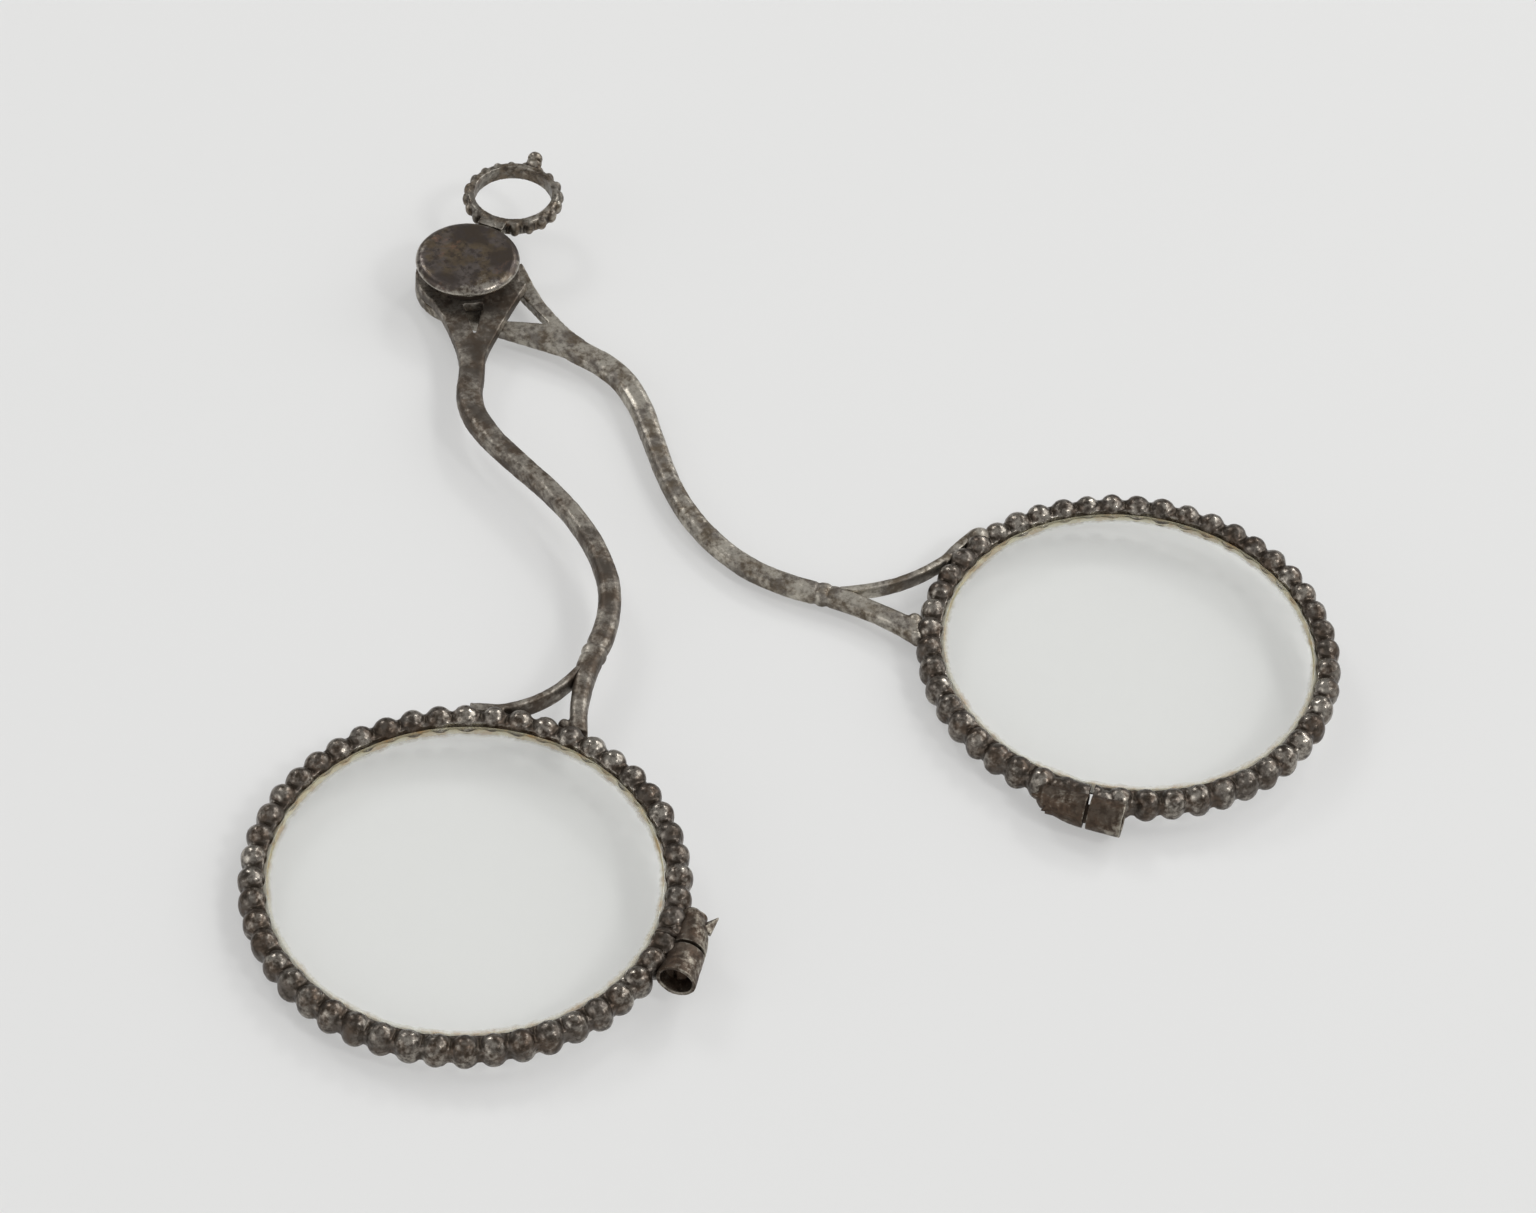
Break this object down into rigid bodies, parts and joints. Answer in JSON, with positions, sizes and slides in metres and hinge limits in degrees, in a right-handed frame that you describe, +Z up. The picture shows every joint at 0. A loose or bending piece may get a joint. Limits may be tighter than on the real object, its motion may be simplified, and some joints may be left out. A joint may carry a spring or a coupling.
{
  "type": "scissors spectacles",
  "caption": "Folding hand-held spectacles: round lenses in beaded iron rims on forked S-curved arms that swing like scissors about a riveted hub with a ribbed suspension ring.",
  "frame": {"origin": "on the pivot axis, at the flat underside of the hub base, with the arms lying open as in the picture", "axes": "+Z up along the pivot axis, -Y from the pivot towards the lenses along the middle line between the arms, +X towards the right (lower) arm"},
  "size_m": [0.1226, 0.1158, 0.0088],
  "materials": {
    "hub_iron": "aged forged iron, smooth brown-grey patina",
    "arm_iron": "aged forged iron, filed and worn, brown-grey patina",
    "rim_iron": "aged forged iron, dark patina with rust in the grooves",
    "rivet_iron": "plain wrought iron",
    "lens_glass": "clear polished glass with a faint green-grey tint"
  },
  "bodies": {
    "hub": {"hub_cap": "hub_iron", "hub_base": "hub_iron", "pivot_rivet": "rivet_iron", "upper_washer": "rivet_iron", "lower_washer": "rivet_iron", "suspension_ring": "hub_iron", "ring_ball": "hub_iron"},
    "left_half": {"left_arm": "arm_iron", "left_brace": "arm_iron", "left_rim": "rim_iron", "left_lens": "lens_glass", "left_open_knuckle": "rim_iron", "left_closed_knuckle": "rim_iron", "left_closing_screw": "rivet_iron"},
    "right_half": {"right_arm": "arm_iron", "right_brace": "arm_iron", "right_rim": "rim_iron", "right_lens": "lens_glass", "right_open_knuckle": "rim_iron", "right_closed_knuckle": "rim_iron", "right_closing_screw": "rivet_iron"}
  },
  "joints": [
    {"name": "left_arm_pivot", "type": "hinge", "parent": "hub", "child": "left_half", "pos_m": [0, 0, 0], "axis": [0, 0, 1], "range_deg": [-34, 25.9]},
    {"name": "right_arm_pivot", "type": "hinge", "parent": "hub", "child": "right_half", "pos_m": [0, 0, 0], "axis": [0, 0, 1], "range_deg": [-25.9, 34]}
  ]
}
